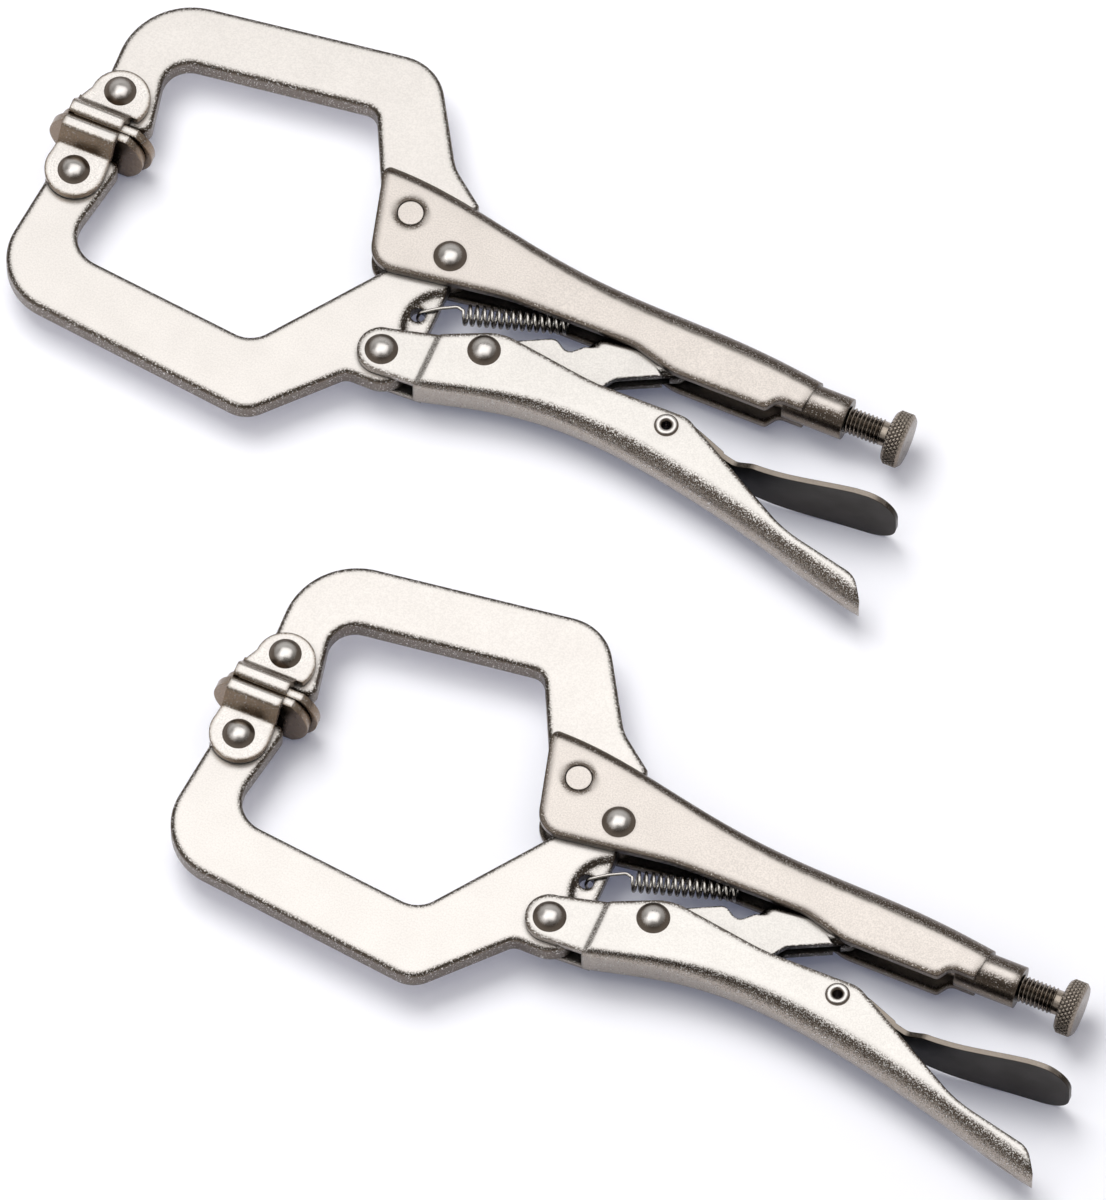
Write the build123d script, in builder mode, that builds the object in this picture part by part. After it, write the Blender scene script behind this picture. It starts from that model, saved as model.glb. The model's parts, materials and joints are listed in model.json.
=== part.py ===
from build123d import *
from math import atan2, cos, hypot, sin
import os

os.makedirs("parts", exist_ok=True)

# A pair of locking C-clamps lying on their sides. All sizes in millimetres.
# Each clamp has its own plane: origin on the jaw pivot at half the clamp's width,
# X along the adjusting screw towards its head, Y towards the fixed jaw, Z up.

# Where the two clamps lie: the jaw pivot of clamp A, and the step from A to B
pivot_a_x = -71.35
pivot_a_y = 78.64
step_x = 115.1
step_y = -145.2
rest_height = 12.0

# Sheet, forgings and running gaps
jaw_thickness = 7.0
handle_sheet = 2.2
ear_sheet = 2.0
side_gap = 0.3
hinge_fit = 0.06
press_gap = 0.03
jaw_edge_round = 1.1

# Half the space between the cheeks of the upper handle, which grips the fixed jaw
cheek_inner = jaw_thickness / 2 + side_gap
cheek_outer = cheek_inner + handle_sheet
grip_half_width = 6.6
lower_half_width = 6.7

# Lower handle: where its channel starts and ends, and its ears
lower_handle_start_x = 6.4
lower_handle_end_x = 150.8
lower_end_web = 1.4
joggle_length = 1.6
lower_ear_radius = 7.0
lower_ear_corners = [(-7.2, -28.0), (8.6, -23.8), (8.6, -41.2), (-6.4, -41.9)]

# Pivots in the clamp's plane
fixing_rivet_at = (-15.9, 8.2)
handle_rivet_at = (-6.4, -34.9)
toggle_rivet_at = (21.0, -24.0)
lever_rivet_at = (78.4, -25.2)
toggle_end_at = (73.2, -3.6)

# Rivets
shank_radius = 3.0
head_radius = 4.85
head_height = 2.5
fixing_rivet_radius = 3.9
eyelet_radius = 2.3
eyelet_bore_radius = 1.3
eyelet_head_radius = 3.55
eyelet_head_height = 0.8

# Jaws
jaw_pivot_boss_radius = 7.4
jaw_toe_x = 0.8
spring_hole_at = (-1.8, -19.1)
spring_hole_radius = 2.2
spring_pocket_at = (6.5, -20.8)
spring_pocket_radius = 11.9
spring_pocket_depth = 1.6
spring_pocket_slope = 40

# Swivel pads
seam_y = -3.4
pad_gap = 0.3
pad_height = 14.0
pad_radius = 14.6
pad_half_width = 12.0
pad_sheet = 2.5
pad_ear_sheet = 2.2
pad_rivet_head_radius = 4.7
pad_fold_height = 4.1
pad_shoulder_height = 7.5
pad_fold_length = 16.4
pad_fold_x = -110.2
upper_pad_x = -108.2
lower_pad_x = -110.4
upper_plate_x = -106.9
lower_plate_x = -108.6
# Round end of each pad's ears: distance from the rivet along X and towards the face, and radius
upper_pad_ear = (0.8, 1.9, 8.75)
lower_pad_ear = (0.1, 0.6, 8.8)

# Adjusting screw, M8 with a knurled head
screw_radius = 4.0
screw_relief_radius = 3.6
thread_end_x = 135.0
screw_head_x = 137.4
screw_head_radius = 8.15
screw_head_length = 5.4
screw_head_bevel = 0.9
screw_gap = 3.2

# Tail of the upper handle, rolled into a tube round the screw
tube_radius = 6.2
tube_start_x = 106.0
tail_end_x = 124.2

# Slot in the upper handle's back for the fixed jaw's stem
jaw_slot_y = 2.0
jaw_slot_length = 60.0
jaw_slot_height = 30.0

# Cuts and trims through both sides of a piece reach this far from the clamp's plane
trim_reach = 30.0

# Toggle link
link_side_gap = 0.7
link_half_width = lower_half_width - ear_sheet - link_side_gap
link_sheet = 2.0
link_end_radius = 3.6
link_bend = 1.4
link_fold = min(link_sheet + link_bend, link_half_width - 0.6)

# Release lever
lever_sheet = 1.6
lever_side_gap = 0.5
lever_neck_half_width = lower_half_width - ear_sheet - lever_side_gap
lever_blade_half_width = 12.0
lever_neck_start_x = 70.0
lever_flare_x = 101.0
lever_flare_end_x = 106.5
lever_flare_half_width = 8.7
lever_blade_start_x = 137.0
lever_tip_x = 150.1
lever_tip_round = 9.5

# Tension spring
wire_radius = 0.5
coil_radius = 2.8
coil_turns = 14
spring_front_at = (10.6, -12.8)
spring_rear_at = (38.2, -4.1)
tab_x = 45.0
tab_thickness = 1.8
tab_width = 4.0
tab_top_y = 9.5
tab_drop = 11.5
tab_hole_y = 0.4
tab_hole_gap = 0.35

# Cross-sections of the two handles along X: distance of the back from the
# screw's axis, half the width, and the outside radius of the folds.
upper_sections = [
    (-34.0, 20.3, cheek_outer, 3.5),
    (-14.0, 20.0, cheek_outer, 3.5),
    (14.0, 15.2, cheek_outer, 3.8),
    (46.0, 10.9, (cheek_outer + grip_half_width) / 2, 5.2),
    (76.0, 10.1, grip_half_width, grip_half_width - 0.3),
    (98.0, 8.9, grip_half_width, grip_half_width - 0.3),
    (116.0, 6.7, grip_half_width - 0.1, grip_half_width - 0.4),
]
lower_inner_start = (-4.0, 44.3, lower_half_width, ear_sheet + 0.6)
lower_inner_end = (lower_handle_end_x - lower_end_web, 54.9, lower_half_width, lower_half_width - 0.3)
lower_sections = [
    (lower_handle_start_x, 41.9, lower_half_width, ear_sheet + 0.6),
    (25.0, 37.4, lower_half_width, ear_sheet + 1.0),
    (45.0, 35.0, lower_half_width, (ear_sheet + lower_half_width) / 2),
    (66.0, 36.2, lower_half_width, lower_half_width - 0.9),
    (90.0, 40.2, lower_half_width, lower_half_width - 0.3),
    (120.0, 47.4, lower_half_width, lower_half_width - 0.3),
    (152.0, 55.6, lower_half_width, lower_half_width - 0.3),
]

# Side outlines as corners and the rounds at them, in the clamp's plane
upper_jaw_corners = [
    (-113.4, 2.3, 5.0),
    (-114.6, 43.8, 22.0),
    (-27.8, 56.4, 15.0),
    (-10.2, 27.6, 14.0),
    (jaw_toe_x, 19.2, 0.6),
    (jaw_toe_x, 14.4, 1.0),
    (-11.0, -0.4, 7.0),
    (-20.4, -0.4, 5.0),
    (-38.6, 36.0, 4.5),
    (-100.4, 27.4, 8.0),
    (-95.2, 2.3, 3.0),
]
lower_jaw_corners = [
    (-98.8, -9.1, 3.0),
    (-104.2, -40.1, 10.0),
    (-42.2, -46.3, 9.0),
    (-5.6, 4.0, 0.5),
    (3.1, 4.0, 0.5),
    (3.1, -44.3, 9.0),
    (-13.4, -44.3, 4.0),
    (-35.0, -67.7, 10.0),
    (-120.8, -58.4, 18.0),
    (-115.8, -9.1, 5.0),
]
upper_handle_corners = [
    (-29.4, 20.9, 4.0),
    (-20.6, -11.6, 7.5),
    (20.0, -5.4, 60.0),
    (60.0, -5.2, 14.0),
    (73.5, -8.9, 14.0),
    (102.2, -8.9, 1.5),
    (104.8, -4.9, 3.0),
    (112.0, -4.9, 0.5),
    (116.0, 24.0, 0.5),
    (-12.0, 22.0, 0.5),
]
lower_handle_corners = [
    (lower_handle_start_x, -24.7, 1.0),
    (23.4, -16.8, 16.0),
    (54.0, -21.0, 60.0),
    (83.0, -20.6, 8.0),
    (122.0, -42.2, 40.0),
    (146.4, -47.6, 7.0),
    (lower_handle_end_x, -54.0, 2.0),
    (lower_handle_end_x, -64.0, 0.5),
    (lower_handle_start_x, -64.0, 0.5),
]
link_web_corners = [
    (44.6, -14.6, 4.0),
    (49.0, -4.8, 4.2),
    (60.0, -2.8, 20.0),
    (toggle_end_at[0] + link_end_radius, toggle_end_at[1] + link_end_radius, 3.6),
    (toggle_end_at[0] + link_end_radius, toggle_end_at[1] - link_end_radius, 3.6),
    (58.6, -16.2, 4.0),
]
link_inner_points = [
    (0, -50), (0, 10), (46.2, 10), (50.4, -7.3), (60.0, -5.3),
    (toggle_end_at[0] - 0.6, -2.9), (toggle_end_at[0] - 0.6, -50),
]
link_cheek_corners = [
    (14.6, -17.6, 6.0),
    (26.0, -17.4, 6.0),
    (37.8, -11.2, 2.6),
    (42.8, -14.2, 2.6),
    (46.6, -10.4, 0),
    (50.5, -9.0, 2.0),
    (60.0, -7.4, 4.0),
    (68.0, -8.2, 0),
    (70.6, -10.0, 0),
    (58.6, -16.2, 4.0),
    (54.8, -22.2, 4.0),
    (27.0, -30.4, 6.0),
    (14.6, -30.4, 6.0),
]
lever_neck_corners = [
    (54.2, -25.6, 0.7),
    (66.0, -21.4, 4.0),
    (86.0, -21.4, 10.0),
    (97.0, -25.6, 1.0),
    (96.0, -28.0, 1.0),
    (84.0, -29.8, 6.0),
    (66.0, -29.8, 8.0),
    (53.6, -27.6, 1.0),
]
lever_blade_points = [
    (72.0, -21.4), (86.0, -22.4), (98.0, -26.2),
    (108.0, -27.5), (124.0, -26.2), (lever_tip_x, -24.1),
]


def section_plane(ground, x):
    """Plane across the clamp at x, with its own x along the clamp's Y."""
    place = ground.from_local_coords(Vector(x, 0, 0))
    return Plane(origin=place, x_dir=ground.y_dir, z_dir=ground.x_dir)


def channel_section(plane, back, half_width, fold, side):
    """Cross-section of a folded channel, its back on the side given by the sign."""
    depth = 60.0
    alignment = Align.MAX if side > 0 else Align.MIN
    with BuildSketch(plane) as section:
        with Locations((side * back, 0)):
            Rectangle(depth, 2 * half_width, align=(alignment, Align.CENTER))
        corners = section.vertices().group_by(Axis.X)
        fillet(corners[-1] if side > 0 else corners[0], fold)
    return section.sketch


def channel_sections(ground, rows, inset, side):
    """All the cross-sections of a handle, drawn in by inset from its outside."""
    sections = []
    for x, back, half_width, fold in rows:
        plane = section_plane(ground, x)
        sections.append(channel_section(plane, back - inset, half_width - inset, fold - inset, side))
    return sections


def save(piece, clamp, label):
    piece.label = f"{clamp}_{label}"
    export_step(piece, f"parts/{clamp}_{label}.step")


def split_corners(corners):
    return [corner[:2] for corner in corners], [corner[2] for corner in corners]


def make_upper_jaw(clamp, ground):
    points, rounds = split_corners(upper_jaw_corners)
    with BuildPart() as upper_jaw:
        with BuildSketch(ground):
            with BuildLine():
                FilletPolyline(*points, radius=rounds, close=True)
            make_face()
        extrude(amount=cheek_inner - press_gap, both=True)
        rims = upper_jaw.faces().filter_by(Axis.Z).edges()
        rims = rims.filter_by_position(Axis.Y, ground.origin.Y + 21, 1000)
        fillet(rims, jaw_edge_round)
        with BuildSketch(ground):
            with Locations(fixing_rivet_at):
                Circle(fixing_rivet_radius + press_gap)
            with Locations((upper_pad_x, seam_y + pad_gap / 2 + pad_height)):
                Circle(shank_radius + hinge_fit)
        extrude(amount=cheek_inner + 1, both=True, mode=Mode.SUBTRACT)
    save(upper_jaw.part, clamp, "upper_jaw")


def make_lower_jaw(clamp, ground):
    points, rounds = split_corners(lower_jaw_corners)
    half = jaw_thickness / 2
    with BuildPart() as lower_jaw:
        with BuildSketch(ground):
            with BuildLine():
                FilletPolyline(*points, radius=rounds, close=True)
            make_face()
            Circle(jaw_pivot_boss_radius)
        extrude(amount=half, both=True)
        rims = lower_jaw.faces().filter_by(Axis.Z).edges()
        rims = rims.filter_by_position(Axis.X, -1000, ground.origin.X - 14)
        fillet(rims, jaw_edge_round)
        with BuildSketch(ground):
            Circle(shank_radius + hinge_fit)
            with Locations(handle_rivet_at, (lower_pad_x, seam_y - pad_gap / 2 - pad_height)):
                Circle(shank_radius + hinge_fit)
            with Locations(spring_hole_at):
                Circle(spring_hole_radius)
        extrude(amount=half + 1, both=True, mode=Mode.SUBTRACT)
        # The tail is thinned on both faces so that the spring's hook clears the lower handle
        for level, direction in ((half, -1), (-half, 1)):
            with BuildSketch(ground.offset(level)):
                with Locations(spring_pocket_at):
                    Circle(spring_pocket_radius)
            extrude(amount=direction * spring_pocket_depth, taper=spring_pocket_slope, mode=Mode.SUBTRACT)
    save(lower_jaw.part, clamp, "lower_jaw")


def make_upper_handle(clamp, ground):
    points, rounds = split_corners(upper_handle_corners)
    with BuildPart() as upper_handle:
        loft(sections=channel_sections(ground, upper_sections, 0, 1))
        with BuildSketch(ground):
            with BuildLine():
                FilletPolyline(*points, radius=rounds, close=True)
            make_face()
        extrude(amount=trim_reach, both=True, mode=Mode.INTERSECT)
        loft(sections=channel_sections(ground, upper_sections, handle_sheet, 1), mode=Mode.SUBTRACT)
        with BuildSketch(section_plane(ground, tube_start_x)):
            Circle(tube_radius)
        extrude(amount=tail_end_x - tube_start_x)
        with BuildSketch(section_plane(ground, tube_start_x - 4)):
            Circle(screw_radius + hinge_fit)
        extrude(amount=tail_end_x - tube_start_x + 5, mode=Mode.SUBTRACT)
        # The back is slotted at the front for the fixed jaw's stem
        with BuildSketch(ground):
            with Locations((jaw_toe_x + press_gap, jaw_slot_y)):
                Rectangle(jaw_slot_length, jaw_slot_height, align=(Align.MAX, Align.MIN))
        extrude(amount=cheek_inner, both=True, mode=Mode.SUBTRACT)
        # Tab lanced down from the back for the spring's rear hook
        with BuildSketch(ground):
            with Locations((tab_x, tab_top_y)):
                Rectangle(tab_thickness, tab_drop, align=(Align.CENTER, Align.MAX))
        extrude(amount=tab_width / 2, both=True)
        with BuildSketch(section_plane(ground, tab_x - 3)):
            with Locations((tab_hole_y, 0)):
                Circle(wire_radius + tab_hole_gap)
        extrude(amount=6, mode=Mode.SUBTRACT)
        with BuildSketch(ground):
            Circle(shank_radius + press_gap)
            with Locations(fixing_rivet_at):
                Circle(fixing_rivet_radius + press_gap)
        extrude(amount=trim_reach, both=True, mode=Mode.SUBTRACT)
    save(upper_handle.part, clamp, "upper_handle")


def make_lower_handle(clamp, ground):
    points, rounds = split_corners(lower_handle_corners)
    ear_outer = cheek_inner + ear_sheet
    with BuildPart() as lower_handle:
        loft(sections=channel_sections(ground, lower_sections, 0, -1))
        with BuildSketch(ground):
            with BuildLine():
                FilletPolyline(*points, radius=rounds, close=True)
            make_face()
        extrude(amount=trim_reach, both=True, mode=Mode.INTERSECT)
        inner_rows = [lower_inner_start] + lower_sections[:-1] + [lower_inner_end]
        loft(sections=channel_sections(ground, inner_rows, ear_sheet, -1), mode=Mode.SUBTRACT)
        # Ears, set in from the channel, that straddle the lower jaw's tail
        for plane in (ground.offset(cheek_inner), ground.offset(-ear_outer)):
            with BuildSketch(plane):
                with Locations(handle_rivet_at):
                    Circle(lower_ear_radius)
                with BuildLine():
                    Polyline(*lower_ear_corners, close=True)
                make_face()
            extrude(amount=ear_sheet)
        # The channel is ramped down to the ears
        side_plane = Plane(origin=ground.origin, x_dir=ground.x_dir, z_dir=-ground.y_dir)
        with BuildSketch(side_plane):
            for sign in (1, -1):
                with BuildLine():
                    Polyline(
                        (lower_handle_start_x, sign * ear_outer),
                        (lower_handle_start_x + joggle_length, sign * lower_half_width),
                        (lower_handle_start_x + joggle_length, sign * (lower_half_width + 1)),
                        (lower_handle_start_x - 0.1, sign * (lower_half_width + 1)),
                        (lower_handle_start_x - 0.1, sign * ear_outer),
                        close=True,
                    )
                make_face()
        extrude(amount=80, both=True, mode=Mode.SUBTRACT)
        with BuildSketch(ground):
            with Locations(handle_rivet_at, toggle_rivet_at):
                Circle(shank_radius + press_gap)
            with Locations(lever_rivet_at):
                Circle(eyelet_radius + press_gap)
        extrude(amount=trim_reach, both=True, mode=Mode.SUBTRACT)
    save(lower_handle.part, clamp, "lower_handle")


def make_toggle_link(clamp, ground):
    with BuildPart() as toggle_link:
        # The folded web is rounded all along its rim, then the flat cheeks are added
        for corners, fold in ((link_web_corners, link_fold), (link_cheek_corners, 0)):
            points, rounds = split_corners(corners)
            with BuildSketch(ground):
                with BuildLine():
                    FilletPolyline(*points, radius=rounds, close=True)
                make_face()
            extrude(amount=link_half_width, both=True)
            if fold > 0:
                fillet(toggle_link.faces().filter_by(Axis.Z).edges(), fold)
        # Inside of the channel, open below and at the front
        with BuildSketch(ground):
            with BuildLine():
                Polyline(*link_inner_points, close=True)
            make_face()
        extrude(amount=link_half_width - link_sheet, both=True, mode=Mode.SUBTRACT)
        with BuildSketch(ground):
            with Locations(toggle_rivet_at):
                Circle(shank_radius + hinge_fit)
        extrude(amount=link_half_width + 1, both=True, mode=Mode.SUBTRACT)
    save(toggle_link.part, clamp, "toggle_link")


def make_release_lever(clamp, ground):
    points, rounds = split_corners(lever_neck_corners)
    with BuildPart() as release_lever:
        # Blade: a bent strip seen from the side, cut to its shape seen from its face
        with BuildSketch(ground):
            with BuildLine():
                upper_side = Spline(*lever_blade_points)
                lower_side = Spline(*[(x, y - lever_sheet) for x, y in lever_blade_points])
                Line(upper_side @ 0, lower_side @ 0)
                Line(upper_side @ 1, lower_side @ 1)
            make_face()
        extrude(amount=lever_blade_half_width + 1, both=True)
        side_plane = Plane(origin=ground.origin, x_dir=ground.x_dir, z_dir=-ground.y_dir)
        with BuildSketch(side_plane):
            with BuildLine():
                FilletPolyline(
                    (lever_neck_start_x, lever_neck_half_width),
                    (lever_flare_x, lever_neck_half_width),
                    (lever_flare_end_x, lever_flare_half_width),
                    (lever_blade_start_x, lever_blade_half_width),
                    (lever_tip_x, lever_blade_half_width),
                    (lever_tip_x, -lever_blade_half_width),
                    (lever_blade_start_x, -lever_blade_half_width),
                    (lever_flare_end_x, -lever_flare_half_width),
                    (lever_flare_x, -lever_neck_half_width),
                    (lever_neck_start_x, -lever_neck_half_width),
                    radius=[0.5, 3, 4, 10, lever_tip_round, lever_tip_round, 10, 4, 3, 0.5],
                    close=True,
                )
            make_face()
        extrude(amount=80, both=True, mode=Mode.INTERSECT)
        cheek_level = lever_neck_half_width - lever_sheet
        for plane in (ground.offset(cheek_level), ground.offset(-lever_neck_half_width)):
            with BuildSketch(plane):
                with BuildLine():
                    FilletPolyline(*points, radius=rounds, close=True)
                make_face()
                with Locations(lever_rivet_at):
                    Circle(eyelet_radius + hinge_fit, mode=Mode.SUBTRACT)
            extrude(amount=lever_sheet)
    save(release_lever.part, clamp, "release_lever")


def make_adjusting_screw(clamp, ground):
    tip_x = toggle_end_at[0] + link_end_radius + screw_gap
    with BuildPart() as adjusting_screw:
        with BuildSketch(section_plane(ground, tip_x)):
            Circle(screw_radius)
        extrude(amount=thread_end_x - tip_x)
        chamfer(adjusting_screw.edges().sort_by(Axis.X)[0], 0.8)
        with BuildSketch(section_plane(ground, thread_end_x)):
            Circle(screw_relief_radius)
        extrude(amount=screw_head_x - thread_end_x)
        with BuildSketch(section_plane(ground, screw_head_x)):
            Circle(screw_head_radius)
        extrude(amount=screw_head_length)
        rims = adjusting_screw.edges().filter_by(GeomType.CIRCLE)
        chamfer(rims.filter_by(lambda edge: edge.radius > screw_head_radius - 0.01), screw_head_bevel)
    save(adjusting_screw.part, clamp, "adjusting_screw")


def make_domed_rivet(clamp, label, ground, place, seat, head):
    """Rivet with a domed head on each side, seated on faces at plus and minus seat."""
    sphere_radius = (head**2 + head_height**2) / (2 * head_height)
    centre = ground.from_local_coords(Vector(place[0], place[1], 0))
    profile_plane = Plane(origin=centre, x_dir=ground.x_dir, z_dir=-ground.y_dir)
    with BuildPart() as rivet:
        with BuildSketch(profile_plane):
            with BuildLine():
                Polyline((0, 0), (shank_radius, 0), (shank_radius, seat), (head, seat))
                RadiusArc((head, seat), (0, seat + head_height), -sphere_radius)
                Line((0, seat + head_height), (0, 0))
            make_face()
        revolve(axis=Axis(profile_plane.origin, ground.z_dir))
        mirror(about=Plane(origin=centre, z_dir=ground.z_dir))
    save(rivet.part, clamp, label)


def make_fixing_rivet(clamp, ground):
    with BuildPart() as fixing_rivet:
        with BuildSketch(ground):
            with Locations(fixing_rivet_at):
                Circle(fixing_rivet_radius)
        extrude(amount=cheek_outer, both=True)
        chamfer(fixing_rivet.edges().filter_by(GeomType.CIRCLE), 0.25)
    save(fixing_rivet.part, clamp, "jaw_fixing_rivet")


def make_lever_eyelet(clamp, ground):
    """Tubular rivet whose ends are rolled outwards."""
    centre = ground.from_local_coords(Vector(lever_rivet_at[0], lever_rivet_at[1], 0))
    profile_plane = Plane(origin=centre, x_dir=ground.x_dir, z_dir=-ground.y_dir)
    seat = lower_half_width
    top = seat + eyelet_head_height
    middle = (eyelet_bore_radius + eyelet_head_radius) / 2
    with BuildPart() as eyelet:
        with BuildSketch(profile_plane):
            with BuildLine():
                Polyline(
                    (eyelet_bore_radius, 0), (eyelet_radius, 0),
                    (eyelet_radius, seat), (eyelet_head_radius, seat),
                )
                ThreePointArc((eyelet_head_radius, seat), (middle, top), (eyelet_bore_radius, seat))
                Line((eyelet_bore_radius, seat), (eyelet_bore_radius, 0))
            make_face()
        revolve(axis=Axis(profile_plane.origin, ground.z_dir))
        mirror(about=Plane(origin=centre, z_dir=ground.z_dir))
    save(eyelet.part, clamp, "release_lever_rivet")


def make_pad(clamp, label, ground, rivet_x, plate_x, ear, side):
    """Swivel pad folded from one sheet; side is +1 on the fixed jaw, -1 on the moving jaw."""
    face_y = seam_y + side * pad_gap / 2
    ear_shift, ear_drop, ear_radius = ear
    ear_inner = cheek_inner + side_gap
    ear_outer = ear_inner + pad_ear_sheet
    face_plane = Plane(
        origin=ground.from_local_coords(Vector(plate_x, face_y, 0)),
        x_dir=ground.x_dir,
        z_dir=ground.y_dir * side,
    )
    with BuildPart() as pad:
        with BuildSketch(face_plane):
            Circle(pad_radius)
            Rectangle(2 * pad_radius, 2 * (pad_half_width - 1.0), mode=Mode.INTERSECT)
        extrude(amount=pad_sheet)
        # Folds: from the face out to the ridge and back up the sloped shoulder to the ear
        start = section_plane(ground, pad_fold_x - pad_fold_length / 2)
        slope_y = pad_fold_height - pad_sheet
        with BuildSketch(start):
            for sign in (1, -1):
                with BuildLine():
                    FilletPolyline(
                        (face_y, sign * 4),
                        (face_y, sign * pad_half_width),
                        (face_y + side * pad_fold_height, sign * pad_half_width),
                        (face_y + side * pad_shoulder_height, sign * ear_outer),
                        (face_y + side * (pad_shoulder_height + 1), sign * ear_outer),
                        (face_y + side * (pad_shoulder_height + 1), sign * ear_inner),
                        (face_y + side * (pad_shoulder_height - 1.25), sign * ear_inner),
                        (face_y + side * pad_sheet, sign * (pad_half_width - slope_y)),
                        (face_y + side * pad_sheet, sign * 4),
                        radius=[0, 1.9, 1.6, 1.0, 0, 0, 0, 0.4, 0],
                        close=True,
                    )
                make_face()
        extrude(amount=pad_fold_length)
        shoulder_y = face_y + side * pad_shoulder_height
        rivet_y = face_y + side * pad_height
        end_x, end_y = rivet_x + ear_shift, rivet_y - side * ear_drop
        for plane in (ground.offset(ear_inner), ground.offset(-ear_outer)):
            with BuildSketch(plane):
                with BuildLine():
                    Polyline(
                        (pad_fold_x - pad_fold_length / 2, shoulder_y),
                        (end_x - ear_radius, end_y),
                        (end_x + ear_radius, end_y),
                        (pad_fold_x + pad_fold_length / 2, shoulder_y),
                        close=True,
                    )
                make_face()
                with Locations((end_x, end_y)):
                    Circle(ear_radius)
                with Locations((end_x, shoulder_y)):
                    alignment = Align.MAX if side > 0 else Align.MIN
                    Rectangle(60, 20, align=(Align.CENTER, alignment), mode=Mode.SUBTRACT)
                with Locations((rivet_x, rivet_y)):
                    Circle(shank_radius + press_gap, mode=Mode.SUBTRACT)
            extrude(amount=pad_ear_sheet)
    save(pad.part, clamp, label)


def make_tension_spring(clamp, ground):
    run_x = spring_rear_at[0] - spring_front_at[0]
    run_y = spring_rear_at[1] - spring_front_at[1]
    length = hypot(run_x, run_y)
    slope = atan2(run_y, run_x)
    along = Vector(cos(slope), sin(slope), 0)
    front = ground.from_local_coords(Vector(spring_front_at[0], spring_front_at[1], 0))
    coil = Helix(pitch=length / coil_turns, height=length, radius=coil_radius, center=front, direction=along)
    with BuildPart() as spring:
        with BuildLine():
            add(coil)
        with BuildSketch(Plane(origin=coil @ 0, z_dir=coil % 0)):
            RegularPolygon(wire_radius, 8)
        sweep(is_frenet=True)
    save(spring.part, clamp, "tension_spring")


def make_clamp(clamp, ground):
    make_upper_handle(clamp, ground)
    make_upper_jaw(clamp, ground)
    make_fixing_rivet(clamp, ground)
    make_domed_rivet(clamp, "jaw_pivot_rivet", ground, (0, 0), cheek_outer, head_radius)
    make_lower_jaw(clamp, ground)
    make_lower_handle(clamp, ground)
    ear_outer = cheek_inner + ear_sheet
    make_domed_rivet(clamp, "lower_handle_rivet", ground, handle_rivet_at, ear_outer, head_radius)
    make_toggle_link(clamp, ground)
    make_domed_rivet(clamp, "toggle_rivet", ground, toggle_rivet_at, lower_half_width, head_radius)
    make_release_lever(clamp, ground)
    make_lever_eyelet(clamp, ground)
    make_adjusting_screw(clamp, ground)
    make_tension_spring(clamp, ground)
    pad_ear_outer = cheek_inner + side_gap + pad_ear_sheet
    for label, rivet_x, plate_x, ear, side in (
        ("upper_pad", upper_pad_x, upper_plate_x, upper_pad_ear, 1),
        ("lower_pad", lower_pad_x, lower_plate_x, lower_pad_ear, -1),
    ):
        make_pad(clamp, label, ground, rivet_x, plate_x, ear, side)
        rivet_y = seam_y + side * (pad_gap / 2 + pad_height)
        place = (rivet_x, rivet_y)
        make_domed_rivet(clamp, f"{label}_rivet", ground, place, pad_ear_outer, pad_rivet_head_radius)


clamp_a = Plane(origin=(pivot_a_x, pivot_a_y, rest_height))
clamp_b = Plane(origin=(pivot_a_x + step_x, pivot_a_y + step_y, rest_height))
make_clamp("clamp_a", clamp_a)
make_clamp("clamp_b", clamp_b)
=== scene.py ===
import bpy
import json
import numpy as np
from math import radians, tau
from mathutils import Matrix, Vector


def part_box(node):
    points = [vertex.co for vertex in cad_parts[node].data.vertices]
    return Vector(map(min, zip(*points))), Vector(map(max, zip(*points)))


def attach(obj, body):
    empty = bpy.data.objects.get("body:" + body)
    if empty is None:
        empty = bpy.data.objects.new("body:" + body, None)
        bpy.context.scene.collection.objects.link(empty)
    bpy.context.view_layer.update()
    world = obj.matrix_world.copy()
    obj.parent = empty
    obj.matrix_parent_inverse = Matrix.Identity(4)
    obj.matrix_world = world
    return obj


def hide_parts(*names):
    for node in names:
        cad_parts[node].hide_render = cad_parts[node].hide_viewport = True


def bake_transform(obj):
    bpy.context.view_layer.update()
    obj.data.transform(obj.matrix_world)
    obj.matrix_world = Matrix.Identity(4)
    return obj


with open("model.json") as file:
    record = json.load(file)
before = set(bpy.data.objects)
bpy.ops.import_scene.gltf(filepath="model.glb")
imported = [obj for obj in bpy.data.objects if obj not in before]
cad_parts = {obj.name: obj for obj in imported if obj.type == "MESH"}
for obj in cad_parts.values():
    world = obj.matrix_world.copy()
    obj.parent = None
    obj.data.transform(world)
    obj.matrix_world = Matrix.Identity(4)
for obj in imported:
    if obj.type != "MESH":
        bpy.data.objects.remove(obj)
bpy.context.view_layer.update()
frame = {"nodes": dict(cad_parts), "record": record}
mm = 0.001
clampNames = ("clamp_a", "clamp_b")
bodyOf = {node: body for body, nodes in frame["record"]["behaviour"]["bodies"].items() for node in nodes}


# Centre of a clamp's jaw pivot, the middle of its rivet's box: each clamp's own sizes are measured from it
def pivotOf(clampName):
    low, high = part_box(clampName + "_jaw_pivot_rivet")
    return (np.array(low) + np.array(high)) / 2


# Camera: a long lens, so that both clamps are seen from the same angle

cameraLook = {
    "turn": 23.3,                # degrees round the clamps
    "elevation": 64.9,           # degrees above the table
    "aim": (70.35, -88.6, 6.1),  # mm from clamp A's jaw pivot
    "distance": 8.0,             # metres
    "across": 316.0,             # mm across the picture, at the aim
    "sensor": 36.0,              # mm
    "sightEnd": 30.0,            # metres
}


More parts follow.
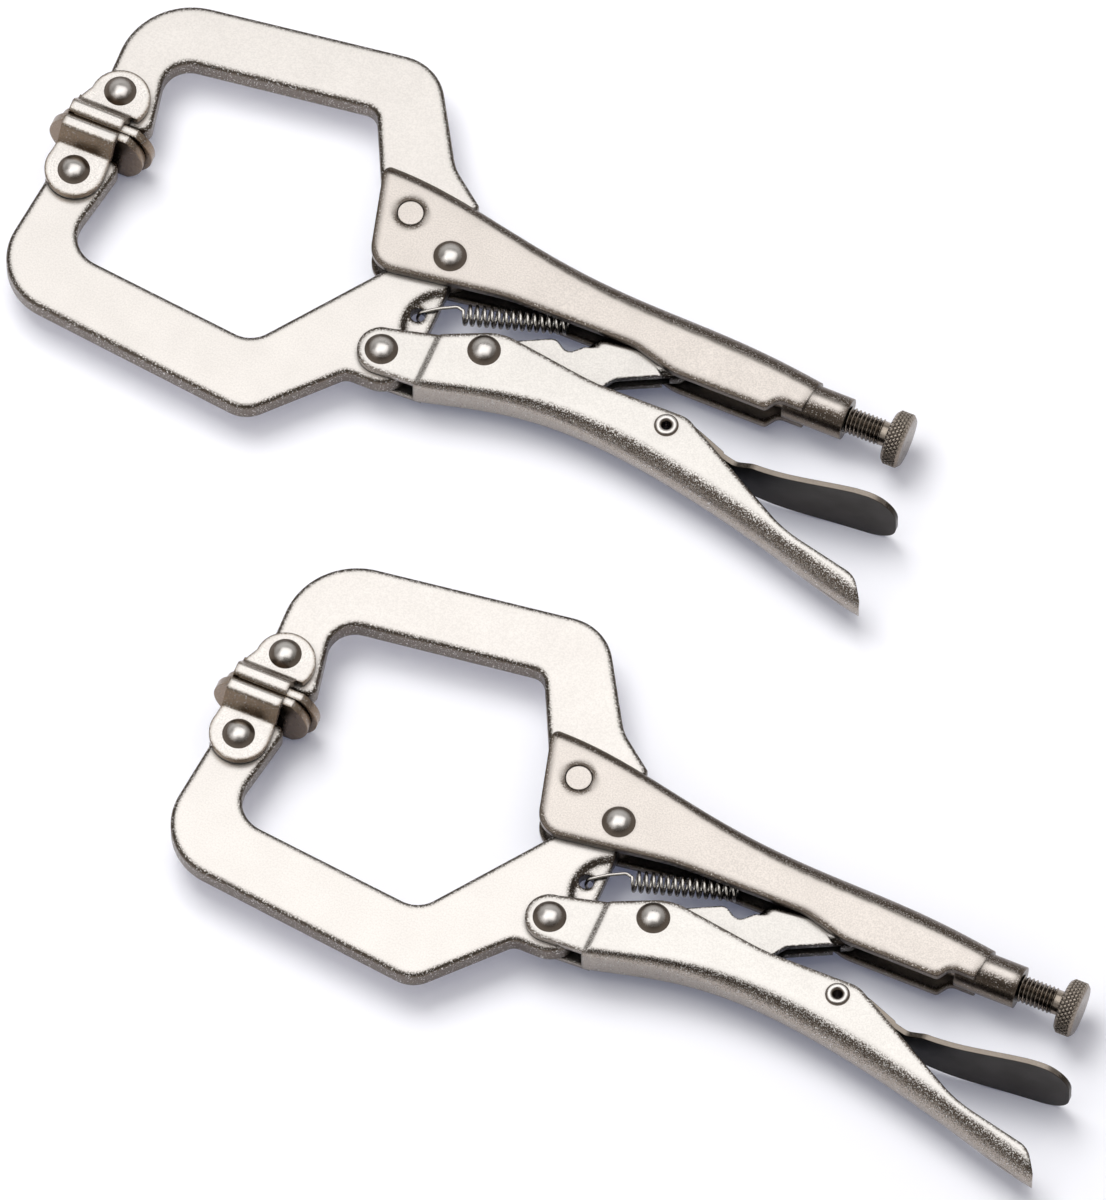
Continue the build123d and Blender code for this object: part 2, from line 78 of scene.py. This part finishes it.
# The camera stands back from its aim, in the direction that its turn and elevation give
def makeCamera(look):
    scene = bpy.context.scene
    data = bpy.data.cameras.new("camera")
    camera = bpy.data.objects.new("camera", data)
    scene.collection.objects.link(camera)
    aim = Vector(pivotOf("clamp_a")) + Vector(look["aim"]) * mm
    turn, rise = radians(look["turn"]), radians(look["elevation"])
    back = Vector((np.sin(turn) * np.cos(rise), -np.cos(turn) * np.cos(rise), np.sin(rise)))
    camera.location = aim + back * look["distance"]
    camera.rotation_euler = back.to_track_quat("Z", "Y").to_euler()
    data.sensor_fit = "HORIZONTAL"
    data.sensor_width = look["sensor"]
    data.lens = look["sensor"] * look["distance"] / (look["across"] * mm)
    data.clip_end = look["sightEnd"]
    scene.camera = camera


makeCamera(cameraLook)
print("camera placed")


# Materials

# A colour written as sRGB hex, turned to the linear values that the shader takes
def srgb(hexValue):
    parts = np.array([int(hexValue[i:i + 2], 16) for i in (1, 3, 5)]) / 255
    linear = np.where(parts <= 0.04045, parts / 12.92, ((parts + 0.055) / 1.055) ** 2.4)
    return (*linear.tolist(), 1.0)


# Adds a node with its settings, its sockets' values, the outputs linked to it and a ramp's colour stops.
# Stops sort themselves by place, so every place is set before the first colour.
def addNode(tree, kind, settings=None, inputs=None, links=None, stops=None):
    node = tree.nodes.new(kind)
    for name, value in (settings or {}).items():
        setattr(node, name, value)
    for name, value in (inputs or {}).items():
        node.inputs[name].default_value = value
    for name, source in (links or {}).items():
        tree.links.new(source, node.inputs[name])
    if stops:
        elements = node.color_ramp.elements
        elements[0].position, elements[1].position = stops[0][0], stops[-1][0]
        for place, colour in stops[1:-1]:
            elements.new(place)
        for element, (place, colour) in zip(elements, stops):
            element.color = srgb(colour)
    return node


# What every plated piece shares. The grain of a barrel-plated sheet is about 0.1 mm, finer than the
# render's 0.3 mm pixels, so it is drawn 0.3 to 0.5 mm across, as coarse as it needs to show.
plate = {
    "grainSize": 0.45, "grainDetail": 3.0, "grainRoughness": 0.6,  # mm across a grain
    "cloudSize": 8.0, "cloudDetail": 2.0,                          # mm across a patch rubbed smoother
    "cloudSpan": (0.3, 0.7), "rough": (0.28, 0.33),                # the clouds' values, and roughness there
    "speckSpan": (0.38, 0.62),                                     # the grain's values, from speck to clear
    "bump": 0.5, "bumpDepth": 0.06,                                # the grain's strength and height in mm
    "creaseSpan": (0.25, 0.8), "creaseShade": 0.25,                # how closed in, and brightness left there
    "edgeSamples": 8, "creaseSamples": 4,
}

# Each piece's own look. The colours are the plate's own on the face, and painted shade and painted reflection
# on the fold beside it and on the side.
# turned: where the face ends, the fold begins and ends, and the side begins, from 0 level to 1 upright
# scatter: how far the grain ruffles those borders, and speckle: how much darker its specks are
# rim: mm beside an edge that count as turned, and edge: mm of the edge's rounding
# creaseReach: mm within which another surface makes a crease, darkened with painted shade
metalLooks = {
    # Satin nickel on a drop forging: pale faces, with painted shade, grainy and brown, on the sides and rims
    "forgedNickel": {
        "face": "#F2EEEA", "fold": "#4E463E", "side": "#6E645B", "turned": (0.002, 0.05, 0.3, 0.6),
        "scatter": 8.0, "speckle": 0.1, "rim": 2.6, "edge": 1.3, "creaseReach": 6.0,
        "grainSize": 0.5, "cloudSize": 9.0, "rough": (0.31, 0.35), "bump": 0.4},
    # Satin nickel on pressed sheet: pale faces, with painted shade as a dark grainy band along the bend and a
    # paler back
    "pressedNickel": {
        "face": "#EEEBE7", "fold": "#544A42", "side": "#A89F96", "turned": (0.003, 0.12, 0.3, 0.55),
        "scatter": 8.0, "speckle": 0.12, "rim": 3.0, "edge": 1.2, "creaseReach": 12.0},
    # The same plate on the upper handle, a shaded copy painted a little greyer, with painted shade brown
    # right across its back
    "upperNickel": {
        "face": "#E8E1DB", "fold": "#574D44", "side": "#7C7166", "turned": (0.001, 0.06, 0.3, 0.6),
        "scatter": 6.0, "speckle": 0.18, "rim": 4.0, "edge": 0.9, "creaseReach": 12.0},
    # A rivet ground flush and plated with the handle: only its thin brown outline is seen
    "flushNickel": {
        "face": "#E8E1DB", "fold": "#968B80", "side": "#A0958A", "turned": (0.002, 0.16, 0.3, 0.6),
        "scatter": 6.0, "speckle": 0.18, "rim": 0.5, "edge": 0.3, "creaseReach": 1.0},
    # Satin nickel on the link's thick blanked sheet: a pale face, with painted shade nearly black on the
    # sheared sides
    "linkNickel": {
        "face": "#EAE7E3", "fold": "#3F3933", "side": "#3F3933", "turned": (0.01, 0.1, 0.3, 0.6),
        "scatter": 8.0, "speckle": 0.14, "rim": 1.2, "edge": 0.4, "creaseReach": 10.0},
    # Thin plate on the lever, a shaded copy painted darker: painted shade turns it nearly black where the
    # blade stands upright
    "leverNickel": {
        "face": "#A59B91", "fold": "#39322B", "side": "#2E2822", "turned": (0.05, 0.3, 0.4, 0.6),
        "scatter": 2.0, "speckle": 0.15, "rim": 0.4, "edge": 0.25, "creaseReach": 8.0,
        "rough": (0.30, 0.40)},
    # Bright nickel on the small folded pads: glossier than the handles, with painted shade brown in the folds
    # and dark in the seams
    "padNickel": {
        "face": "#F0ECE8", "fold": "#7D6F60", "side": "#8B7763", "turned": (0.01, 0.2, 0.4, 0.9),
        "scatter": 5.0, "speckle": 0.16, "rim": 2.2, "edge": 0.5, "creaseReach": 4.0, "creaseShade": 0.08,
        "grainSize": 0.42, "cloudSize": 6.0, "rough": (0.24, 0.30), "bumpDepth": 0.05},
    # Bright nickel on cold-headed rivets: smooth domes, with painted shade brown only at the foot
    "brightRivet": {
        "face": "#F3F0ED", "fold": "#6E645B", "side": "#887D73", "turned": (0.03, 0.2, 0.3, 0.6),
        "scatter": 1.0, "speckle": 0.05, "rim": 0.2, "edge": 0.15, "creaseReach": 1.2, "creaseShade": 0.15,
        "grainSize": 0.3, "cloudSize": 3.0, "rough": (0.27, 0.32), "bump": 0.06, "bumpDepth": 0.03},
    # Nickel on turned steel: brown-grey, with painted shade dark in the thread and the knurls
    "turnedNickel": {
        "face": "#B7ACA0", "fold": "#9C9186", "side": "#857A6F", "turned": (0.1, 0.4, 0.5, 0.9),
        "scatter": 1.0, "speckle": 0.2, "rim": 0.1, "edge": 0.1, "creaseReach": 1.0,
        "creaseSpan": (0.5, 0.97), "creaseShade": 0.05,
        "grainSize": 0.3, "cloudSize": 4.0, "rough": (0.22, 0.30), "bump": 0.1, "bumpDepth": 0.03},
    # Drawn spring wire: smooth, pale and glossy, with painted shade dark between the turns
    "springSteel": {
        "face": "#E6E3DE", "fold": "#BDB8B0", "side": "#9A958D", "turned": (0.1, 0.4, 0.5, 0.9),
        "scatter": 0.0, "speckle": 0.0, "rim": 0.05, "edge": 0.05, "creaseReach": 1.6,
        "creaseSpan": (0.4, 0.95), "creaseShade": 0.05,
        "grainSize": 0.3, "cloudSize": 4.0, "rough": (0.2, 0.28), "bump": 0.05, "bumpDepth": 0.02},
}
metalOf = {
    "upper_handle": "upperNickel", "lower_handle": "pressedNickel", "toggle_link": "linkNickel",
    "release_lever": "leverNickel", "upper_jaw": "forgedNickel", "lower_jaw": "forgedNickel",
    "upper_pad": "padNickel", "lower_pad": "padNickel", "tension_spring": "springSteel",
    "adjusting_screw": "turnedNickel", "jaw_fixing_rivet": "flushNickel",
}
otherMetal = "brightRivet"


# Plated metal. How far a surface turns away from level, seen with its edges rounded and ruffled by the grain,
# picks its colour
# from face through fold to side: painted shade and painted reflection where it turns away. Specks of grain
# and painted shade in creases darken it.
def platedMetal(name, look):
    material = bpy.data.materials.new(name)
    material.use_nodes = True
    tree = material.node_tree
    tree.nodes.clear()
    place = addNode(tree, "ShaderNodeTexCoord").outputs["Object"]

    # The plate's grain, and the patches where it is rubbed smoother
    grain = addNode(tree, "ShaderNodeTexNoise", links={"Vector": place}, inputs={
        "Scale": 1 / (look["grainSize"] * mm), "Detail": look["grainDetail"],
        "Roughness": look["grainRoughness"]}).outputs["Fac"]
    cloud = addNode(tree, "ShaderNodeTexNoise", links={"Vector": place}, inputs={
        "Scale": 1 / (look["cloudSize"] * mm), "Detail": look["cloudDetail"]}).outputs["Fac"]
    rough = addNode(tree, "ShaderNodeMapRange", links={"Value": cloud}, inputs={
        "From Min": look["cloudSpan"][0], "From Max": look["cloudSpan"][1],
        "To Min": look["rough"][0], "To Max": look["rough"][1]}).outputs["Result"]
    edge = addNode(tree, "ShaderNodeBevel", {"samples": look["edgeSamples"]},
                   {"Radius": look["edge"] * mm}).outputs["Normal"]
    bump = addNode(tree, "ShaderNodeBump", links={"Height": grain, "Normal": edge}, inputs={
        "Strength": look["bump"], "Distance": look["bumpDepth"] * mm}).outputs["Normal"]

    # How far the surface turns away from level, ruffled by the grain: it picks the painted shade and painted
    # reflection
    rim = addNode(tree, "ShaderNodeBevel", {"samples": look["edgeSamples"]},
                  {"Radius": look["rim"] * mm}).outputs["Normal"]
    up = addNode(tree, "ShaderNodeSeparateXYZ", links={"Vector": rim}).outputs["Z"]
    level = addNode(tree, "ShaderNodeMath", {"operation": "ABSOLUTE"}, links={0: up}).outputs[0]
    away = addNode(tree, "ShaderNodeMath", {"operation": "SUBTRACT"}, {0: 1.0}, {1: level}).outputs[0]
    loose = addNode(tree, "ShaderNodeMath", {"operation": "MULTIPLY_ADD"},
                    {1: look["scatter"], 2: 1 - look["scatter"] / 2}, {0: grain}).outputs[0]
    spread = addNode(tree, "ShaderNodeMath", {"operation": "MULTIPLY"}, links={0: away, 1: loose}).outputs[0]
    stopColours = (look["face"], look["fold"], look["fold"], look["side"])
    plateColourAndTiltShade = addNode(tree, "ShaderNodeValToRGB", links={"Fac": spread},
                   stops=tuple(zip(look["turned"], stopColours))).outputs["Color"]

    # Specks of grain, and painted shade in creases
    speck = addNode(tree, "ShaderNodeMapRange", links={"Value": grain}, inputs={
        "From Min": look["speckSpan"][0], "From Max": look["speckSpan"][1],
        "To Min": 1 - look["speckle"], "To Max": 1.0}).outputs["Result"]
    crease = addNode(tree, "ShaderNodeAmbientOcclusion", {"samples": look["creaseSamples"]},
                     {"Distance": look["creaseReach"] * mm}).outputs["AO"]
    paintedCreaseShade = addNode(tree, "ShaderNodeMapRange", {"interpolation_type": "SMOOTHSTEP"}, {
        "From Min": look["creaseSpan"][0], "From Max": look["creaseSpan"][1],
        "To Min": look["creaseShade"], "To Max": 1.0}, {"Value": crease}).outputs["Result"]
    shade = addNode(tree, "ShaderNodeMath", {"operation": "MULTIPLY"}, links={0: speck, 1: paintedCreaseShade}).outputs[0]
    colour = addNode(tree, "ShaderNodeVectorMath", {"operation": "SCALE"},
                     links={0: plateColourAndTiltShade, "Scale": shade}).outputs[0]

    shader = addNode(tree, "ShaderNodeBsdfPrincipled", inputs={"Metallic": 1.0},
                     links={"Base Color": colour, "Roughness": rough, "Normal": bump})
    addNode(tree, "ShaderNodeOutputMaterial", links={"Surface": shader.outputs["BSDF"]})
    return material


metals = {name: platedMetal(name, {**plate, **look}) for name, look in metalLooks.items()}
print("metals made")


# The CAD's own pieces

nodeDressing = {
    "weld": 0.002,        # mm between points that are one
    "sharpFrom": 28,      # degrees between faces that meet at a sharp edge
    "faceWeight": 100,    # how far the largest face decides the shading at its points
}


# A node's faces are welded, split again at its sharp edges and shaded smooth in between
def dressNode(node, metal, dressing):
    node.data.materials.clear()
    node.data.materials.append(metal)
    node.data.polygons.foreach_set("use_smooth", np.ones(len(node.data.polygons), bool))
    weld = node.modifiers.new("weld", "WELD")
    weld.merge_threshold = dressing["weld"] * mm
    split = node.modifiers.new("split", "EDGE_SPLIT")
    split.split_angle = radians(dressing["sharpFrom"])
    evenOut = node.modifiers.new("evenOut", "WEIGHTED_NORMAL")
    evenOut.weight = dressing["faceWeight"]
    evenOut.keep_sharp = True


for clampName in clampNames:
    for nodeName, node in frame["nodes"].items():
        if nodeName.startswith(clampName):
            metalName = metalOf.get(nodeName[len(clampName) + 1:], otherMetal)
            dressNode(node, metals[metalName], nodeDressing)
print("CAD pieces dressed")


# New pieces

# A smooth mesh of one metal that stands for a CAD node
def meshPiece(name, points, quads, metal, replaced):
    mesh = bpy.data.meshes.new(name)
    mesh.from_pydata(points.tolist(), [], quads.tolist())
    mesh.polygons.foreach_set("use_smooth", np.ones(len(mesh.polygons), bool))
    mesh.materials.append(metal)
    mesh.update()
    piece = bpy.data.objects.new(name, mesh)
    bpy.context.scene.collection.objects.link(piece)
    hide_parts(replaced)
    return piece


# Quads between the points of a grid, row by row, that closes on itself across its columns
def gridQuads(rows, columns):
    row, column = np.meshgrid(np.arange(rows - 1), np.arange(columns), indexing="ij")
    follow = (column + 1) % columns
    quads = np.stack([row * columns + column, row * columns + follow,
                      (row + 1) * columns + follow, (row + 1) * columns + column], axis=-1)
    return quads.reshape(-1, 4)


# The adjusting screw, in mm, with its lengths along X from the jaw pivot. Its tip, its head's end and its
# head's radius are those of the CAD's screw. At rest the thread's start is hidden in the handle's tail.
screwSizes = {
    "radius": 4.0, "tipBevel": 0.8, "plainEnd": 120.9,
    "threadStart": 121.0, "threadEnd": 135.0, "pitch": 1.25, "threadDepth": 0.7,
    "neckRadius": 3.6, "neckEnd": 137.4,
    "headBevel": 0.9, "endRing": 5.2,      # the ring is the middle one of the head's flat end
    "knurls": 36, "knurlStep": 11 / 6,     # grooves of each lean round the head, and mm from one to the next
    "knurlDepth": 0.42, "knurlSteepness": 1.7,
    "pointsAround": 216, "ringsPerPitch": 10, "headRings": 46,
    "sharpFrom": 50,                       # degrees between faces that meet at a sharp edge
}


# A profile of radius along X, turned round the axis. The thread takes off a triangular wave that moves on
# by its pitch in each turn. The knurls take off the grooves of two waves, in the angle plus and minus
# the length, so that they cross.
def makeScrew(clampName, sizes):
    nodeName = clampName + "_adjusting_screw"
    pivot = pivotOf(clampName)
    low, high = (np.array(corner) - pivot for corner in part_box(nodeName))
    tip, end, headRadius = low[0] / mm, high[0] / mm, high[1] / mm
    start, bevel, shank, neck = sizes["neckEnd"], sizes["headBevel"], sizes["radius"], sizes["neckRadius"]
    thread = np.arange(sizes["threadStart"], sizes["threadEnd"], sizes["pitch"] / sizes["ringsPerPitch"])
    head = np.linspace(start + bevel, end - bevel, sizes["headRings"])
    profile = [
        (tip, 0.0), (tip, shank - sizes["tipBevel"]), (tip + sizes["tipBevel"], shank),
        (sizes["plainEnd"], shank), (thread, shank), (sizes["threadEnd"], neck),
        (start, neck), (start, headRadius - bevel), (head, headRadius),
        (end, headRadius - bevel), (end, sizes["endRing"]), (end, 0.0),
    ]
    along = np.concatenate([np.atleast_1d(place) for place, radius in profile])
    base = np.concatenate([np.full(np.size(place), radius) for place, radius in profile])
    around = np.arange(sizes["pointsAround"]) / sizes["pointsAround"] * tau
    angle, x = np.meshgrid(around, along)
    radius = np.repeat(base[:, None], len(around), axis=1)

    wave = np.abs(((x / sizes["pitch"] - angle / tau) % 1.0) * 2 - 1)
    threaded = np.isin(along, thread)
    radius[threaded] -= sizes["threadDepth"] * wave[threaded]
    twist, lean = sizes["knurls"] * angle, tau * (x - start) / sizes["knurlStep"]
    groove = np.minimum(np.abs(np.sin((twist + lean) / 2)), np.abs(np.sin((twist - lean) / 2)))
    knurled = np.isin(along, head)
    radius[knurled] -= sizes["knurlDepth"] * (1 - np.clip(groove * sizes["knurlSteepness"], 0, 1))[knurled]

    points = np.stack([x, radius * np.cos(angle), radius * np.sin(angle)], axis=-1).reshape(-1, 3)
    quads = gridQuads(len(along), len(around))
    piece = meshPiece(clampName + "_screw", points * mm + pivot, quads, metals["turnedNickel"], nodeName)
    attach(piece, bodyOf[nodeName])
    split = piece.modifiers.new("split", "EDGE_SPLIT")
    split.split_angle = radians(sizes["sharpFrom"])


# The tension spring, in mm from the jaw pivot. Its hooks are bent through the hole in the lower jaw's tail
# and through the tab of the upper handle.
springSizes = {
    "wire": 0.5, "coil": 2.8,                                  # radii
    "turns": 14, "extraTurn": 0.75, "earlyTurn": 0.4,          # on the axis, past it in all, before its front
    "front": (10.6, -12.8, 0.0), "rear": (38.2, -4.1, 0.0),    # the ends of the coil's axis
    "hole": (-1.8, -19.1, 0.0), "tab": (45.0, 0.4, 0.0),
    "frontHook": (                                             # from the hole, in the frame's directions
        (0.4, -0.2, -2.4), (-0.2, 0.1, -0.6), (0.3, 0.9, 1.6), (2.0, 1.9, 2.5),
        (4.8, 3.7, 2.9), (7.6, 5.3, 2.95), (9.6, 6.3, 2.95)),
    "frontJoin": (-0.35, 0.02, 0.0),                           # from the coil's first point
    "rearJoin": (0.3, -0.15, 0.7),                             # from its last one: along, across and up
    "rearBend": ((1.9, 1.5, 1.2), (3.0, 0.3, 0.6)),            # from the axis' end: along, across and up
    "tabRun": (-2.4, 0.0, 0.0),                                # from the tab: along, across and up
    "tabHook": ((0.0, 0.0, 0.0), (1.8, 0.5, 0.0), (2.2, -1.2, 0.0)),  # from the tab, as frontHook
    "pointsPerTurn": 28, "pointsPerBend": 8, "wireSides": 10,
}


# A round tube on a path: each ring lies across the path, and is turned only as much as the path turns,
# because the last ring's normal, less its share along the path, gives the next one's
def tubeAlong(path, radius, sides):
    tangent = np.gradient(path, axis=0)
    tangent /= np.linalg.norm(tangent, axis=1)[:, None]
    normal = np.zeros_like(path)
    normal[0] = np.cross(tangent[0], [0.3, 0.2, 1.0])  # square to the path, whichever way round
    for i in range(1, len(path)):
        normal[i] = normal[i - 1] - tangent[i] * normal[i - 1].dot(tangent[i])
        normal[i] /= np.linalg.norm(normal[i])
    normal[0] /= np.linalg.norm(normal[0])
    side = np.cross(tangent, normal)
    angle = (np.arange(sides) / sides * tau)[None, :, None]
    rings = path[:, None] + radius * (np.cos(angle) * normal[:, None] + np.sin(angle) * side[:, None])
    return rings.reshape(-1, 3)


# A smooth curve through the corners: between two of them it is the cubic that leaves each one in the
# direction from its neighbour before to its neighbour after
def smoothPath(corners, steps):
    corners = np.array(corners)
    padded = np.vstack([2 * corners[0] - corners[1], corners, 2 * corners[-1] - corners[-2]])
    t = np.arange(steps)[:, None] / steps
    parts = []
    for a, b, c, d in zip(padded[:-3], padded[1:-2], padded[2:-1], padded[3:]):
        bend = (2 * a - 5 * b + 4 * c - d) * t**2 + (3 * b - a - 3 * c + d) * t**3
        parts.append((2 * b + (c - a) * t + bend) / 2)
    return np.vstack(parts + [corners[-1:]])


# A helix round a slanted axis, with a hook bent on from each end
def makeSpring(clampName, sizes):
    nodeName = clampName + "_tension_spring"
    pivot = pivotOf(clampName)
    front, rear, hole, tab = (np.array(sizes[name]) for name in ("front", "rear", "hole", "tab"))
    along = (rear - front) / np.linalg.norm(rear - front)
    across = np.array([-along[1], along[0], 0.0])
    up = np.array([0.0, 0.0, 1.0])
    coilAxes = np.array([along, across, up])

    woundTurns = sizes["turns"] + sizes["extraTurn"]
    wound = np.linspace(0, woundTurns, round(woundTurns * sizes["pointsPerTurn"]))[:, None]
    middle = front + (rear - front) * (wound - sizes["earlyTurn"]) / sizes["turns"]
    helix = middle + sizes["coil"] * (up * np.cos(wound * tau) - across * np.sin(wound * tau))

    frontCorners = [*(hole + sizes["frontHook"]), helix[0] + sizes["frontJoin"]]
    rearCorners = [
        helix[-1] + sizes["rearJoin"] @ coilAxes, *(rear + sizes["rearBend"] @ coilAxes),
        tab + sizes["tabRun"] @ coilAxes, *(tab + sizes["tabHook"])]
    frontHook = smoothPath(frontCorners, sizes["pointsPerBend"])
    rearHook = smoothPath(rearCorners, sizes["pointsPerBend"])
    path = np.vstack([frontHook, helix, rearHook])

    points = tubeAlong(path, sizes["wire"], sizes["wireSides"]) * mm + pivot
    quads = gridQuads(len(path), sizes["wireSides"])
    piece = meshPiece(clampName + "_spring", points, quads, metals["springSteel"], nodeName)
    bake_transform(piece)


for clampName in clampNames:
    makeScrew(clampName, screwSizes)
    makeSpring(clampName, springSizes)
print("screws and springs made")


# Studio: a pale table under soft boxes

tableLook = {
    "reach": 3.0,  # metres from the middle to each side
    "colour": "#F6F6F8", "rough": 0.9,
    "glow": "#93ABF4", "glowStrength": 0.08,
}


# A square of matt white board. Its faint blue glow gives the shadows on it their blue-grey.
def makeTable(look):
    reach = look["reach"]
    corners = [(-reach, -reach, 0), (reach, -reach, 0), (reach, reach, 0), (-reach, reach, 0)]
    mesh = bpy.data.meshes.new("table")
    mesh.from_pydata(corners, [], [(0, 1, 2, 3)])
    material = bpy.data.materials.new("paleTable")
    material.use_nodes = True
    tree = material.node_tree
    tree.nodes.clear()
    shader = addNode(tree, "ShaderNodeBsdfPrincipled", inputs={
        "Base Color": srgb(look["colour"]), "Roughness": look["rough"],
        "Emission Color": srgb(look["glow"]), "Emission Strength": look["glowStrength"]})
    addNode(tree, "ShaderNodeOutputMaterial", links={"Surface": shader.outputs["BSDF"]})
    mesh.materials.append(material)
    table = bpy.data.objects.new("table", mesh)
    bpy.context.scene.collection.objects.link(table)


# Places and sizes in metres; mirrored says whether the metal mirrors the box as well as being lit by it
softBoxes = {
    "sky": {"place": (-0.05, 0.25, 1.39), "size": (1.7, 1.5), "watts": 9.3,
            "colour": "#FFFEFD", "mirrored": True},
    "key": {"place": (-0.68, 0.42, 1.80), "size": (1.1, 1.1), "watts": 22.0,
            "colour": "#FFFFFF", "mirrored": False},
    "front": {"place": (-0.62, -0.62, 1.16), "size": (1.1, 0.9), "watts": 2.6,
              "colour": "#FFFFFF", "mirrored": True},
}


# Each box faces the middle of the table
def makeLights(boxes):
    for name, box in boxes.items():
        data = bpy.data.lights.new(name, "AREA")
        data.shape = "RECTANGLE"
        data.size, data.size_y = box["size"]
        data.energy = box["watts"]
        data.color = srgb(box["colour"])[:3]
        light = bpy.data.objects.new(name, data)
        light.location = box["place"]
        light.rotation_euler = Vector(box["place"]).to_track_quat("Z", "Y").to_euler()
        light.visible_glossy = box["mirrored"]
        light.visible_camera = False
        bpy.context.scene.collection.objects.link(light)


# Greys by a direction's height, from 0 at the horizon to 1 overhead: pale walls and a dark ceiling
worldLook = {
    "stops": ((0.0, "#D8D6D4"), (0.5, "#C9C7C5"), (0.66, "#6E6A66"), (0.88, "#6E6A66")),
    "strength": 1.0,
}


# The surroundings that the metal mirrors: their grey depends on a direction's height alone
def makeWorld(look):
    world = bpy.data.worlds.new("studio")
    bpy.context.scene.world = world
    world.use_nodes = True
    tree = world.node_tree
    tree.nodes.clear()
    direction = addNode(tree, "ShaderNodeTexCoord").outputs["Generated"]
    height = addNode(tree, "ShaderNodeSeparateXYZ", links={"Vector": direction}).outputs["Z"]
    grey = addNode(tree, "ShaderNodeValToRGB", links={"Fac": height}, stops=look["stops"]).outputs["Color"]
    shade = addNode(tree, "ShaderNodeBackground", None, {"Strength": look["strength"]}, {"Color": grey})
    addNode(tree, "ShaderNodeOutputWorld", links={"Surface": shade.outputs["Background"]})


makeTable(tableLook)
makeLights(softBoxes)
makeWorld(worldLook)
bpy.context.scene.view_settings.view_transform = "Standard"
print("studio lit")
